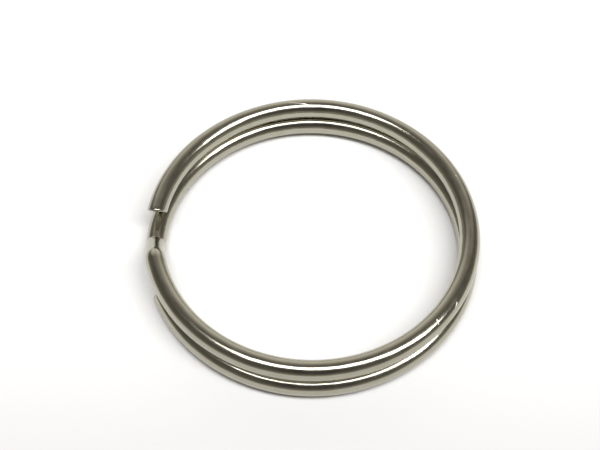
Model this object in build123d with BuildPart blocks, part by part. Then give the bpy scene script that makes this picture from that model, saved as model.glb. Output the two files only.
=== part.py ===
from build123d import *
import math
import os

# Split key ring: one length of round spring wire, wound into two coils that lie one on
# the other. The wire starts at a free end on top, runs once round as the upper coil,
# steps down through a joggle, and runs once more round as the lower coil to its other
# free end. The coils all but touch, and the lower one sits a little toward -Y. +Z is
# the ring's axis, and the lower coil lies on z = 0.

# Driving dimensions, in millimetres and degrees
outer_diameter = 30.0       # of each coil
wire_diameter = 1.8
coil_gap = 0.055            # open space between the coils, where a key is pushed in
coil_offset = 0.43          # between the two coils' centres, along Y
joggle_azimuth = 186.2      # middle of the joggle, counter-clockwise from +X
joggle_slope = 35.0         # slope of the wire between its two bends
bend_radius = 1.1           # of both bends, at the middle of the wire
bend_lead = 0.1             # straight wire between a coil and its bend
upper_end_clearance = 1.5   # along the wire, from the joggle's foot to the upper free end
lower_end_clearance = 1.7   # the same, from the joggle's head to the lower free end
end_slant = 28.0            # each free end is cut so that it recedes toward the other coil
end_rounding = 0.15         # tumbled edge of each cut end

# Sizes that follow from them
wire_radius = wire_diameter / 2
mean_radius = outer_diameter / 2 - wire_radius
coil_pitch = wire_diameter + coil_gap
lower_centre = Vector(0, -coil_offset / 2, wire_radius)
upper_centre = Vector(0, coil_offset / 2, wire_radius + coil_pitch)
offcut_length = wire_diameter * 1.5

slope_half_run = coil_pitch / 2 / math.tan(math.radians(joggle_slope))
bend_run = bend_radius * math.tan(math.radians(joggle_slope / 2)) + bend_lead
joggle_half_run = slope_half_run + bend_run


def turn(arc_length):
    """The angle about a coil's centre that a length of its wire covers."""
    return math.degrees(arc_length / mean_radius)


# The coils' centres lie apart along the joggle's run, so its two ends turn further apart
joggle_half_turn = turn(joggle_half_run + coil_offset / 2)
joggle_head = joggle_azimuth + joggle_half_turn
joggle_foot = joggle_azimuth - joggle_half_turn
upper_end = joggle_foot - turn(upper_end_clearance)
lower_end = joggle_head + turn(lower_end_clearance)


def across_wire(azimuth, coil_centre):
    """The plane that cuts a coil's wire square, centred on the wire."""
    outward = Vector(1, 0, 0).rotate(Axis.Z, azimuth)
    along = Vector(0, 1, 0).rotate(Axis.Z, azimuth)
    return Plane(coil_centre + outward * mean_radius, x_dir=outward, z_dir=along)


def coil(coil_centre, start, end, free_end, offcut_side):
    """One coil from start round to end, cut on a slant at its free end, its rim tumbled round."""
    square_cut = across_wire(free_end, coil_centre)
    slanted_cut = square_cut.rotated((end_slant, 0, 0))
    with BuildPart() as wound:
        with BuildSketch(across_wire(start, coil_centre)):
            Circle(wire_radius)
        revolve(axis=Axis(coil_centre, (0, 0, 1)), revolution_arc=end - start)
        with Locations(slanted_cut.offset(offcut_side * offcut_length / 2)):
            Box(wire_diameter * 2, wire_diameter * 2, offcut_length, mode=Mode.SUBTRACT)
        cut_face = wound.faces().sort_by_distance(square_cut.origin)[0]
        fillet(cut_face.edges(), end_rounding)
    return wound.part


head_plane = across_wire(joggle_head, upper_centre)
foot_plane = across_wire(joggle_foot, lower_centre)
# Wire beyond the middle of each slanted cut, so that the cut takes it off at full depth
spare_turn = turn(wire_diameter)

with BuildPart() as split_ring:
    # Upper coil, from the head of the joggle round to the upper free end
    add(coil(upper_centre, joggle_head, upper_end + 360 + spare_turn, upper_end, 1))

    # Lower coil, from the lower free end round to the foot of the joggle
    add(coil(lower_centre, lower_end - spare_turn, joggle_foot + 360, lower_end, -1))

    # Joggle: a bend, a short slope and a second bend, tangent to the coil at each end
    with BuildLine() as joggle_line:
        FilletPolyline(
            head_plane.origin,
            head_plane.origin - head_plane.z_dir * bend_run,
            foot_plane.origin + foot_plane.z_dir * bend_run,
            foot_plane.origin,
            radius=bend_radius,
        )
    with BuildSketch(head_plane):
        Circle(wire_radius)
    sweep(path=joggle_line.wire())

split_ring.part.label = "split_ring"

os.makedirs("parts", exist_ok=True)
export_step(split_ring.part, "parts/split_ring.step")

turned_angle = (upper_end + 360 - joggle_head) + (joggle_foot + 360 - lower_end)
wire_length = math.radians(turned_angle) * mean_radius + joggle_line.wire().length
wire_volume = math.pi * wire_radius**2 * wire_length
print(f"wire length {wire_length:.2f} mm, its volume {wire_volume:.2f} mm3")
print(f"solid {split_ring.part.volume:.2f} mm3, pieces {len(split_ring.part.solids())}")
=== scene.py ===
import math

import bmesh
import bpy
from mathutils import Matrix, Vector


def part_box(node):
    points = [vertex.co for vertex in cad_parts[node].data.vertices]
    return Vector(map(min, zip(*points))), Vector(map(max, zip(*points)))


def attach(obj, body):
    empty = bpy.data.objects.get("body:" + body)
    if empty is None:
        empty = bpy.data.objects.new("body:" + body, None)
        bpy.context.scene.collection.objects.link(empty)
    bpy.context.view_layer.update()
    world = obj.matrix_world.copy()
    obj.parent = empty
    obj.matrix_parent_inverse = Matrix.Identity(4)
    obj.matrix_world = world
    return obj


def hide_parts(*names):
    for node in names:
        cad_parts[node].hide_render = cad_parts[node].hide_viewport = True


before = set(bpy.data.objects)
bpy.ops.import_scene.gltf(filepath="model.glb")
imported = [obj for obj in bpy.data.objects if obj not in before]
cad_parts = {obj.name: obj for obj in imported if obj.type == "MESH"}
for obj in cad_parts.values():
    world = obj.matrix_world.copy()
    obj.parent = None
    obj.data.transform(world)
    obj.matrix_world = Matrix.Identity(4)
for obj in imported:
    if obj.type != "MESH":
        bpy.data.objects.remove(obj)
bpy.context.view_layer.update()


# ---------------------------------------------------------------- split ring
# One length of round spring steel wire, drawn, cut off, nickel plated and tumbled, and
# wound into two coils that lie one on the other. It steps from the upper coil down to
# the lower one through a joggle, and each of its two ends is cut on a slant.

ring_low, ring_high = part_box("split_ring")
millimetres = 1000                   # in a metre
wire_radius = 0.0009
coil_offset = 0.00043                # the lower coil's centre lies this far toward -Y
box_margin = 0.000002                # keeps the round wire inside the CAD's faceted one
coil_radius = (ring_high.y - ring_low.y - coil_offset) / 2 - wire_radius - box_margin
coil_pitch = ring_high.z - ring_low.z - 2 * wire_radius
middle_height = (ring_high.z + ring_low.z) / 2

joggle_azimuth = math.radians(186.2)  # counter-clockwise from +X
joggle_slope = math.radians(35)
bend_radius = 0.0011
bend_lead = 0.0001                   # straight wire beside each bend
upper_end_clearance = 0.0015         # from the joggle's foot to the upper free end
lower_end_clearance = 0.0017         # from the joggle's head to the lower free end
end_slant = math.radians(28)         # each cut recedes toward the other coil

slope_half = coil_pitch / 2 / math.sin(joggle_slope) - bend_radius * math.tan(joggle_slope / 2)
bend_end = slope_half + bend_radius * joggle_slope
joggle_half_run = (
    slope_half * math.cos(joggle_slope) + bend_radius * math.sin(joggle_slope) + bend_lead
)
joggle_end = bend_end + bend_lead    # along the wire, from the joggle's middle
coil_length = 2 * math.pi * coil_radius - 2 * joggle_half_run - coil_offset
upper_end = upper_end_clearance - coil_length - joggle_end
lower_end = joggle_end + coil_length - lower_end_clearance


def draw_wire(facets=56, coil_step=0.00040, joggle_step=0.00010):
    """The straight wire along X, with the joggle's middle at 0, cut square at each end."""
    wire = bmesh.new()
    start = Matrix.Translation((upper_end, 0, 0)) @ Matrix.Rotation(math.pi / 2, 4, "Y")
    bmesh.ops.create_circle(wire, cap_ends=True, segments=facets, radius=wire_radius, matrix=start)
    rim = wire.edges[:]
    for stretch, step in (
        (-joggle_end - upper_end, coil_step),
        (2 * joggle_end, joggle_step),
        (lower_end - joggle_end, coil_step),
    ):
        steps = round(stretch / step)
        drawn = bmesh.ops.spin(
            wire, geom=rim, cent=(0, 0, 0), axis=(1, 0, 0), dvec=(stretch / steps, 0, 0),
            angle=0, steps=steps, use_merge=False,
        )
        rim = [part for part in drawn["geom_last"] if isinstance(part, bmesh.types.BMEdge)]
    bmesh.ops.contextual_create(wire, geom=rim)
    bmesh.ops.remove_doubles(wire, verts=wire.verts, dist=1e-7)
    bmesh.ops.recalc_face_normals(wire, faces=wire.faces)
    return wire


def cut_faces_of(wire):
    """The two end faces, which have far more corners than the faces along the wire."""
    most_side_corners = 8
    return [face for face in wire.faces if len(face.verts) > most_side_corners]


def tumble_ends(wire, rounding=0.00016):
    """Slants each cut end, rounds its rim, and dishes its face a little, as a shear leaves it."""
    slanted_length = 0.0015
    dishing = ((0.00012, -0.00001), (0.0003, -0.00003), (0.00025, 0.00001))   # inset, depth
    for vert in wire.verts:
        from_end = min(abs(vert.co.x - upper_end), abs(vert.co.x - lower_end))
        share = max(0.0, 1 - from_end / slanted_length)
        vert.co.x -= vert.co.z * math.tan(end_slant) * share
    rims = [edge for face in cut_faces_of(wire) for edge in face.edges]
    bmesh.ops.bevel(
        wire, geom=rims, offset=rounding, segments=5, profile=0.5, affect="EDGES", material=-1,
    )
    cut_faces = cut_faces_of(wire)
    for thickness, depth in dishing:
        bmesh.ops.inset_individual(wire, faces=cut_faces, thickness=thickness, depth=depth)
    bmesh.ops.poke(wire, faces=cut_faces)


def joggled(along):
    """Where a point of the centre line lies once the joggle is pressed: run, height, slope."""
    reach = abs(along)
    slope = min(joggle_slope, max(0.0, (bend_end - reach) / bend_radius))
    if reach <= slope_half:
        run = reach * math.cos(joggle_slope)
        drop = reach * math.sin(joggle_slope)
    else:
        run = slope_half * math.cos(joggle_slope)
        run += bend_radius * (math.sin(joggle_slope) - math.sin(slope)) + max(0.0, reach - bend_end)
        drop = slope_half * math.sin(joggle_slope)
        drop += bend_radius * (math.cos(slope) - math.cos(joggle_slope))
    return math.copysign(run, along), middle_height - math.copysign(drop, along), slope


def wind(wire):
    """Presses the joggle into the straight wire, then winds it clockwise round the ring's axis.

    Each point keeps its place on the straight wire, in millimetres, for the plate's draw
    lines and marks, and whether it lies on a cut face.
    """
    on_cut = 0.00006                 # a point this near the slanted cut lies on its face
    blank_place = wire.verts.layers.float_vector.new("wire_blank")
    cut_face = wire.verts.layers.float.new("cut_face")
    for vert in wire.verts:
        vert[blank_place] = vert.co * millimetres
        upright = vert.co.x + vert.co.z * math.tan(end_slant)
        at_end = min(abs(upright - upper_end), abs(upright - lower_end)) < on_cut
        vert[cut_face] = 1.0 if at_end else 0.0
        run, height, slope = joggled(vert.co.x)
        run += vert.co.z * math.sin(slope)
        height += vert.co.z * math.cos(slope)
        stepped = min(1.0, max(-1.0, vert.co.x / joggle_end))
        sideways = coil_offset / 2 * math.sin(math.pi / 2 * stepped)
        azimuth = joggle_azimuth - (run + sideways) / coil_radius
        radius = coil_radius + vert.co.y
        vert.co = (radius * math.cos(azimuth), radius * math.sin(azimuth) - sideways, height)


def nickel_plate():
    """Bright nickel over drawn steel wire: a warm mirror with faint lines along the wire,
    a few dents and scratches from use, and dull, darker steel where the wire was cut.
    Places and sizes are those on the straight wire, in millimetres.
    """
    bright_nickel = (0.44, 0.42, 0.345)
    grey_nickel = (0.405, 0.388, 0.315)
    scuffed_nickel = (0.75, 0.72, 0.66)
    cut_steel = (0.30, 0.28, 0.25)
    surface = wire_radius * millimetres
    mark_depth = surface / 3
    # along the wire, degrees round it, bearing in radians, length, width
    scratch_over_the_back = (-66.2, 92, -0.26, 2.4, 0.16)
    nicks = (
        (-48.1, 80, 0.7, 0.35, 0.14),
        (-32.0, 64, 1.2, 0.6, 0.14),
        (-34.3, 44, 0.5, 0.9, 0.1),
    )
    plate = bpy.data.materials.new("nickel_plate")
    plate.use_nodes = True
    nodes, links = plate.node_tree.nodes, plate.node_tree.links
    shader = nodes["Principled BSDF"]
    shader.inputs["Metallic"].default_value = 1.0

    def attribute(name, output):
        reader = nodes.new("ShaderNodeAttribute")
        reader.attribute_name = name
        return reader.outputs[output]

    def noise(features_per_mm, detail):
        mapping = nodes.new("ShaderNodeMapping")
        mapping.inputs["Scale"].default_value = features_per_mm
        links.new(on_blank, mapping.inputs["Vector"])
        pattern = nodes.new("ShaderNodeTexNoise")
        pattern.inputs["Scale"].default_value = 1.0
        pattern.inputs["Detail"].default_value = detail
        links.new(mapping.outputs["Vector"], pattern.inputs["Vector"])
        return pattern.outputs["Fac"]

    def spread(value, low, high, at_low, at_high):
        spreading = nodes.new("ShaderNodeMapRange")
        links.new(value, spreading.inputs["Value"])
        for name, number in (
            ("From Min", low), ("From Max", high), ("To Min", at_low), ("To Max", at_high),
        ):
            spreading.inputs[name].default_value = number
        return spreading.outputs["Result"]

    def mark(along, round_wire, bearing, length, width):
        """A mask that is 1 in the middle of a scratch or nick and 0 outside it."""
        angle = math.radians(round_wire)
        turned = Matrix.Rotation(angle - math.pi / 2, 3, "X") @ Matrix.Rotation(bearing, 3, "Z")
        placing = nodes.new("ShaderNodeMapping")
        placing.vector_type = "TEXTURE"
        placing.inputs["Location"].default_value = (
            along, surface * math.cos(angle), surface * math.sin(angle),
        )
        placing.inputs["Rotation"].default_value = turned.to_euler()
        placing.inputs["Scale"].default_value = (length / 2, width / 2, mark_depth)
        links.new(on_blank, placing.inputs["Vector"])
        reach = nodes.new("ShaderNodeVectorMath")
        reach.operation = "LENGTH"
        links.new(placing.outputs["Vector"], reach.inputs[0])
        rim, full = 1.0, 0.5
        return spread(reach.outputs["Value"], rim, full, 0.0, 1.0)

    def greater(first, second):
        greater_of_two = nodes.new("ShaderNodeMath")
        greater_of_two.operation = "MAXIMUM"
        links.new(first, greater_of_two.inputs[0])
        links.new(second, greater_of_two.inputs[1])
        return greater_of_two.outputs["Value"]

    def mixed(factor, first, second):
        mix = nodes.new("ShaderNodeMix")
        mix.data_type = "RGBA"
        links.new(factor, mix.inputs["Factor"])
        for colour, name in ((first, "A"), (second, "B")):
            if isinstance(colour, tuple):
                mix.inputs[name].default_value = (*colour, 1)
            else:
                links.new(colour, mix.inputs[name])
        return mix.outputs["Result"]

    def bumped(height, distance, under=None):
        bump = nodes.new("ShaderNodeBump")
        bump.inputs["Distance"].default_value = distance
        links.new(height, bump.inputs["Height"])
        if under is not None:
            links.new(under, bump.inputs["Normal"])
        return bump.outputs["Normal"]

    on_blank = attribute("wire_blank", "Vector")
    cut = attribute("cut_face", "Fac")
    # Features in a millimetre along, across and up the wire, and how fine they get
    draw_lines = noise((0.12, 7, 7), 3.0)
    unevenness = noise((0.4, 0.6, 0.6), 1.0)
    handling = noise((0.9, 2.2, 2.2), 4.0)
    marks = mark(*scratch_over_the_back)
    for nick in nicks:
        marks = greater(marks, mark(*nick))

    plated = mixed(spread(handling, 0.35, 0.65, 0.0, 1.0), grey_nickel, bright_nickel)
    scuffed = mixed(marks, plated, scuffed_nickel)
    links.new(mixed(cut, scuffed, cut_steel), shader.inputs["Base Color"])

    plate_roughness = spread(handling, 0.3, 0.75, 0.15, 0.21)
    mark_roughness = spread(marks, 0, 1, 0, 0.4)
    cut_roughness = spread(cut, 0.0, 1.0, 0.0, 0.42)
    worn_roughness = greater(plate_roughness, mark_roughness)
    links.new(greater(worn_roughness, cut_roughness), shader.inputs["Roughness"])

    # Heights in metres
    uneven = bumped(unevenness, 0.00004)
    drawn = bumped(draw_lines, 0.0000016, uneven)
    links.new(bumped(marks, -0.00001, drawn), shader.inputs["Normal"])
    return plate


wire = draw_wire()
tumble_ends(wire)
wind(wire)
ring_mesh = bpy.data.meshes.new("wound_ring")
wire.to_mesh(ring_mesh)
wire.free()
for face in ring_mesh.polygons:
    face.use_smooth = True
wound_ring = bpy.data.objects.new("wound_ring", ring_mesh)
bpy.context.scene.collection.objects.link(wound_ring)
ring_mesh.materials.append(nickel_plate())
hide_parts("split_ring")
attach(wound_ring, "root")


# ---------------------------------------------------------------- table top
# A sheet of plain white card under the ring, far wider than the view. Its colour is
# painted a little greyer toward the near side, as painted shade where less light falls on it.

card_half_width = 1.5
card_white = 0.95
# Painted shade: the card's colour is painted darker on the near side, fading to plain white beyond.
card_painted_shade = 0.80
painted_shade_from = -0.022       # along Y: grey on the near side of this, white beyond the other
painted_shade_end = -0.004

table = bmesh.new()
bmesh.ops.create_grid(table, x_segments=1, y_segments=1, size=card_half_width)
table_mesh = bpy.data.meshes.new("table_top")
table.to_mesh(table_mesh)
table.free()
table_top = bpy.data.objects.new("table_top", table_mesh)
bpy.context.scene.collection.objects.link(table_top)
card = bpy.data.materials.new("white_card")
card.use_nodes = True
card_shader = card.node_tree.nodes["Principled BSDF"]
card_nodes, card_links = card.node_tree.nodes, card.node_tree.links
card_place = card_nodes.new("ShaderNodeTexCoord")
card_axes = card_nodes.new("ShaderNodeSeparateXYZ")
card_links.new(card_place.outputs["Object"], card_axes.inputs["Vector"])
# Painted shade: this ramp darkens the card's colour toward the near side.
card_painted_shade_fade = card_nodes.new("ShaderNodeMapRange")
card_painted_shade_fade.interpolation_type = "SMOOTHSTEP"
card_painted_shade_fade.inputs["From Min"].default_value = painted_shade_from
card_painted_shade_fade.inputs["From Max"].default_value = painted_shade_end
card_painted_shade_fade.inputs["To Min"].default_value = card_painted_shade
card_painted_shade_fade.inputs["To Max"].default_value = card_white
card_links.new(card_axes.outputs["Y"], card_painted_shade_fade.inputs["Value"])
card_links.new(card_painted_shade_fade.outputs["Result"], card_shader.inputs["Base Color"])
card_shader.inputs["Roughness"].default_value = 0.9
card_shader.inputs["Specular IOR Level"].default_value = 0.0
table_mesh.materials.append(card)


# ---------------------------------------------------------------- light
# One long soft panel overhead, reaching out to the right, in a dim plain room whose walls
# are paler than its ceiling, the far wall most. The ceiling above the camera is darkest.

room = bpy.data.worlds.new("room")
bpy.context.scene.world = room
room.use_nodes = True
room_nodes, room_links = room.node_tree.nodes, room.node_tree.links
background = room_nodes["Background"]


def shade_of(direction_value, *stops):
    """A ramp of colours over one measure of the direction, each colour at its place."""
    ramp = room_nodes.new("ShaderNodeValToRGB")
    room_links.new(direction_value, ramp.inputs["Fac"])
    while len(ramp.color_ramp.elements) < len(stops):
        ramp.color_ramp.elements.new(0.5)
    for element, (place, colour) in zip(ramp.color_ramp.elements, stops):
        element.position = place
        element.color = (*colour, 1)
    return ramp.outputs["Color"]


def blended(factor, first, second):
    mix = room_nodes.new("ShaderNodeMix")
    mix.data_type = "RGBA"
    room_links.new(factor, mix.inputs["Factor"])
    room_links.new(first, mix.inputs["A"])
    room_links.new(second, mix.inputs["B"])
    return mix.outputs["Result"]


def toward(direction):
    """How far the line of sight points toward a direction: 1 along it, 0 square to it."""
    dot = room_nodes.new("ShaderNodeVectorMath")
    dot.operation = "DOT_PRODUCT"
    room_links.new(line_of_sight, dot.inputs[0])
    dot.inputs[1].default_value = direction
    return dot.outputs["Value"]


line_of_sight = room_nodes.new("ShaderNodeTexCoord").outputs["Generated"]
height = toward((0, 0, 1))
far_wall = shade_of(
    height, (0.0, (1.0, 0.99, 0.96)), (0.35, (0.98, 0.95, 0.9)), (0.62, (0.70, 0.67, 0.62)),
    (0.87, (0.24, 0.22, 0.20)),
)
near_room = shade_of(
    height, (0.0, (0.60, 0.58, 0.54)), (0.14, (0.36, 0.34, 0.30)), (0.36, (0.16, 0.15, 0.13)),
    (0.9, (0.13, 0.122, 0.108)),
)
farness = shade_of(toward((0, 0.85, 0.53)), (0.76, (0, 0, 0)), (0.9, (1, 1, 1)))
walls = blended(farness, near_room, far_wall)
over_camera = shade_of(toward((0.05, -0.62, 0.78)), (0.88, (0, 0, 0)), (0.96, (1, 1, 1)))
dark_ceiling = room_nodes.new("ShaderNodeRGB")
dark_ceiling.outputs["Color"].default_value = (0.07, 0.062, 0.062, 1)
surroundings = blended(over_camera, walls, dark_ceiling.outputs["Color"])
room_links.new(surroundings, background.inputs["Color"])

panel_data = bpy.data.lights.new("panel", "AREA")
panel_data.shape = "RECTANGLE"
panel_data.size = 1.5
panel_data.size_y = 0.355
panel_data.energy = 14.5
panel = bpy.data.objects.new("panel", panel_data)
panel.location = (0.36, -0.1925, 1.0)
panel.rotation_euler = (0, 0, math.radians(-8))
bpy.context.scene.collection.objects.link(panel)


# ---------------------------------------------------------------- camera
# Close above the near side of the ring, looking down at it.

camera_elevation = math.radians(55.53)
camera_roll = math.radians(-0.25)
camera_distance = 7.008 * coil_radius    # from the upper coil's centre, on the table
camera_right = -0.0739 * coil_radius
camera_raise = 0.1345 * coil_radius
view_direction = Vector((0, math.cos(camera_elevation), -math.sin(camera_elevation)))
view_up = Vector((0, math.sin(camera_elevation), math.cos(camera_elevation)))

camera_data = bpy.data.cameras.new("camera")
camera_data.sensor_width = 36
camera_data.lens = 64.76
camera_data.clip_start = 0.005
camera_data.clip_end = 10
camera = bpy.data.objects.new("camera", camera_data)
camera.location = (
    -view_direction * camera_distance + Vector((camera_right, coil_offset / 2, 0))
    + view_up * camera_raise
)
camera.rotation_mode = "ZYX"
camera.rotation_euler = (math.pi / 2 - camera_elevation, 0, camera_roll)
bpy.context.scene.collection.objects.link(camera)
bpy.context.scene.camera = camera
bpy.context.scene.view_settings.view_transform = "Standard"
